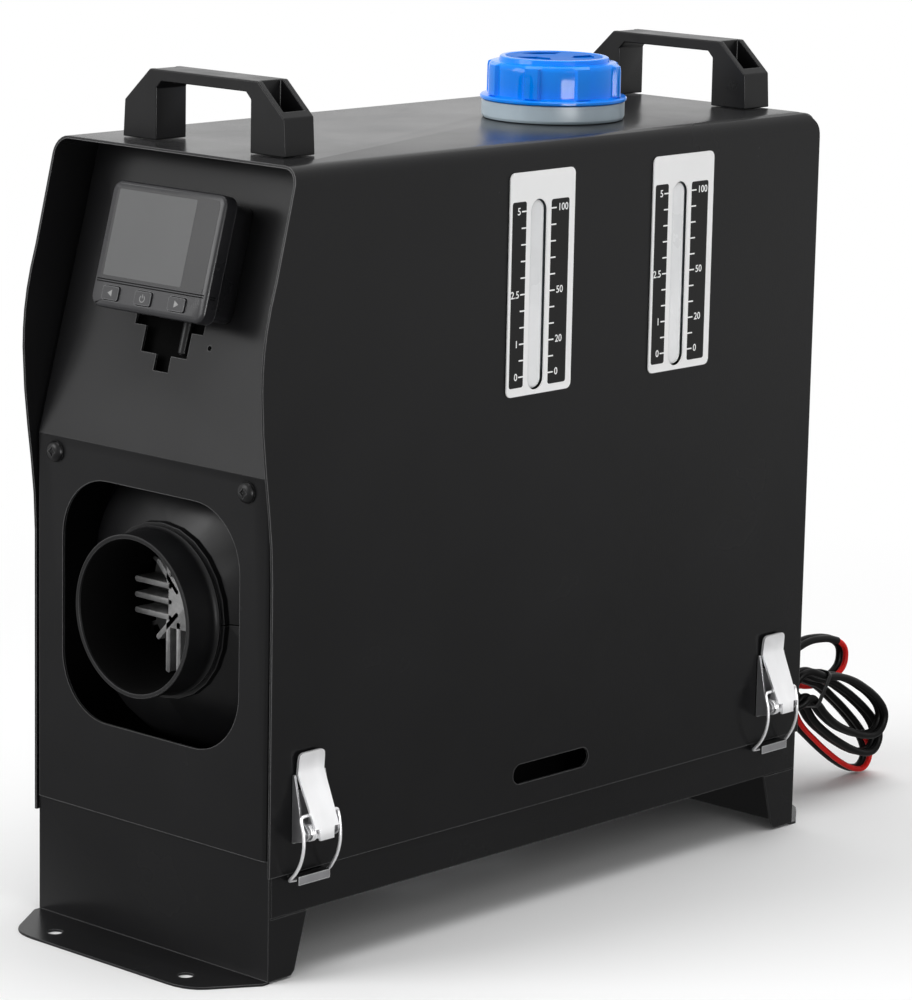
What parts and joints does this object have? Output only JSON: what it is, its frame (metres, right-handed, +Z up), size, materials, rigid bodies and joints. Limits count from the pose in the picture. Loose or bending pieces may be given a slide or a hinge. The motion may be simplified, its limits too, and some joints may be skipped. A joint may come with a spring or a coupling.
{
  "type": "diesel air heater",
  "caption": "Portable diesel air heater in a black folded steel case with carrying handles, fuel tank, filler cap, level gauges, controller, draw latches and round warm-air outlet",
  "frame": {"origin": "on the floor, at the middle of the footprint of the two feet", "axes": "+X is the width, towards the side with the level gauges; the warm air leaves towards -Y; +Z is up"},
  "size_m": [0.175, 0.4972, 0.381],
  "materials": {
    "black_steel": "satin black powder coat",
    "black_plastic": "black moulded plastic",
    "grey_plastic": "dark grey moulded plastic",
    "blue_plastic": "blue moulded plastic",
    "tank_plastic": "translucent white polyethylene",
    "rubber": "black rubber",
    "zinc": "bright zinc plate",
    "aluminium": "cast",
    "steel": "plain steel",
    "label_white": "white printed plate",
    "screen_grey": "grey display under a dark window",
    "red_lead": "red wire insulation",
    "black_lead": "black wire insulation"
  },
  "bodies": {
    "case": {"base_tray": "black_steel", "blower_motor": "steel", "burner_tube": "steel", "cable_grommet": "rubber", "combustion_air_pipe": "steel", "control_unit": "black_plastic", "controller_housing": "grey_plastic", "controller_screen": "screen_grey", "cover_shell": "black_steel", "exhaust_pipe": "steel", "feed_line": "tank_plastic", "filter_line": "tank_plastic", "front_foot": "black_steel", "front_handle": "black_plastic", "front_panel": "black_steel", "fuel_filter": "tank_plastic", "fuel_pump": "steel", "fuel_tank": "tank_plastic", "glow_plug": "steel", "hank_black": "black_lead", "hank_red": "red_lead", "hank_tie": "black_plastic", "heat_exchanger": "aluminium", "heater_cradle": "black_steel", "heater_gasket": "rubber", "heater_lower_casing": "black_plastic", "heater_upper_casing": "black_plastic", "intake_grille": "black_plastic", "latch_bracket_front_left": "zinc", "latch_bracket_front_right": "zinc", "latch_bracket_rear_left": "zinc", "latch_bracket_rear_right": "zinc", "lead_black": "black_lead", "lead_red": "red_lead", "level_plate_front": "label_white", "level_plate_rear": "label_white", "outlet_spigot": "black_plastic", "panel_screw_left": "black_plastic", "panel_screw_right": "black_plastic", "rear_foot": "black_steel", "rear_handle": "black_plastic", "rear_panel": "black_steel", "suction_line": "tank_plastic"},
    "cap_ring": {"cap_seal": "rubber"},
    "cap": {"filler_cap": "blue_plastic"},
    "rotor": {"motor_shaft": "steel", "combustion_wheel": "aluminium", "blower_wheel": "black_plastic"},
    "lever_front_right": {"latch_lever_front_right": "zinc"},
    "bail_front_right": {"latch_bail_front_right": "zinc"},
    "lever_front_left": {"latch_lever_front_left": "zinc"},
    "bail_front_left": {"latch_bail_front_left": "zinc"},
    "lever_rear_right": {"latch_lever_rear_right": "zinc"},
    "bail_rear_right": {"latch_bail_rear_right": "zinc"},
    "lever_rear_left": {"latch_lever_rear_left": "zinc"},
    "bail_rear_left": {"latch_bail_rear_left": "zinc"},
    "button_left": {"button_left": "grey_plastic"},
    "button_power": {"button_power": "grey_plastic"},
    "button_right": {"button_right": "grey_plastic"}
  },
  "joints": [
    {"name": "cap_lift", "type": "slide", "parent": "case", "child": "cap_ring", "axis": [0, 0, 1], "range_m": [0, 0.008]},
    {"name": "cap_turn", "type": "hinge", "parent": "cap_ring", "child": "cap", "pos_m": [0.015, 0.058, 0.36], "axis": [0, 0, 1], "range_deg": [0, 720.05]},
    {"name": "fan_spin", "type": "hinge", "parent": "case", "child": "rotor", "pos_m": [0, 0.06, 0.1506], "axis": [0, 1, 0], "continuous": true},
    {"name": "lever_front_right_swing", "type": "hinge", "parent": "case", "child": "lever_front_right", "pos_m": [0.0825, -0.1569, 0.0665], "axis": [0, 1, 0], "range_deg": [0, 100]},
    {"name": "bail_front_right_swing", "type": "hinge", "parent": "lever_front_right", "child": "bail_front_right", "pos_m": [0.0825, -0.1569, 0.0742], "axis": [0, 1, 0], "range_deg": [-85.1, 0]},
    {"name": "lever_front_left_swing", "type": "hinge", "parent": "case", "child": "lever_front_left", "pos_m": [-0.0825, -0.1569, 0.0665], "axis": [0, -1, 0], "range_deg": [0, 100]},
    {"name": "bail_front_left_swing", "type": "hinge", "parent": "lever_front_left", "child": "bail_front_left", "pos_m": [-0.0825, -0.1569, 0.0742], "axis": [0, -1, 0], "range_deg": [-85.1, 0]},
    {"name": "lever_rear_right_swing", "type": "hinge", "parent": "case", "child": "lever_rear_right", "pos_m": [0.0825, 0.1569, 0.0665], "axis": [0, 1, 0], "range_deg": [0, 100]},
    {"name": "bail_rear_right_swing", "type": "hinge", "parent": "lever_rear_right", "child": "bail_rear_right", "pos_m": [0.0825, 0.1569, 0.0742], "axis": [0, 1, 0], "range_deg": [-85.1, 0]},
    {"name": "lever_rear_left_swing", "type": "hinge", "parent": "case", "child": "lever_rear_left", "pos_m": [-0.0825, 0.1569, 0.0665], "axis": [0, -1, 0], "range_deg": [0, 100]},
    {"name": "bail_rear_left_swing", "type": "hinge", "parent": "lever_rear_left", "child": "bail_rear_left", "pos_m": [-0.0825, 0.1569, 0.0742], "axis": [0, -1, 0], "range_deg": [-85.1, 0]},
    {"name": "button_left_press", "type": "slide", "parent": "case", "child": "button_left", "axis": [0, 0.9636, -0.2672], "range_m": [0, 0.0008], "stiffness_N_per_m": 300},
    {"name": "button_power_press", "type": "slide", "parent": "case", "child": "button_power", "axis": [0, 0.9636, -0.2672], "range_m": [0, 0.0008], "stiffness_N_per_m": 300},
    {"name": "button_right_press", "type": "slide", "parent": "case", "child": "button_right", "axis": [0, 0.9636, -0.2672], "range_m": [0, 0.0008], "stiffness_N_per_m": 300}
  ],
  "couplings": [
    {"joint": "cap_turn", "follows": "cap_lift", "rad_per_m": 1570.8},
    {"joint": "bail_front_right_swing", "follows": "lever_front_right_swing", "ratio": -0.85},
    {"joint": "bail_front_left_swing", "follows": "lever_front_left_swing", "ratio": -0.85},
    {"joint": "bail_rear_right_swing", "follows": "lever_rear_right_swing", "ratio": -0.85},
    {"joint": "bail_rear_left_swing", "follows": "lever_rear_left_swing", "ratio": -0.85}
  ]
}
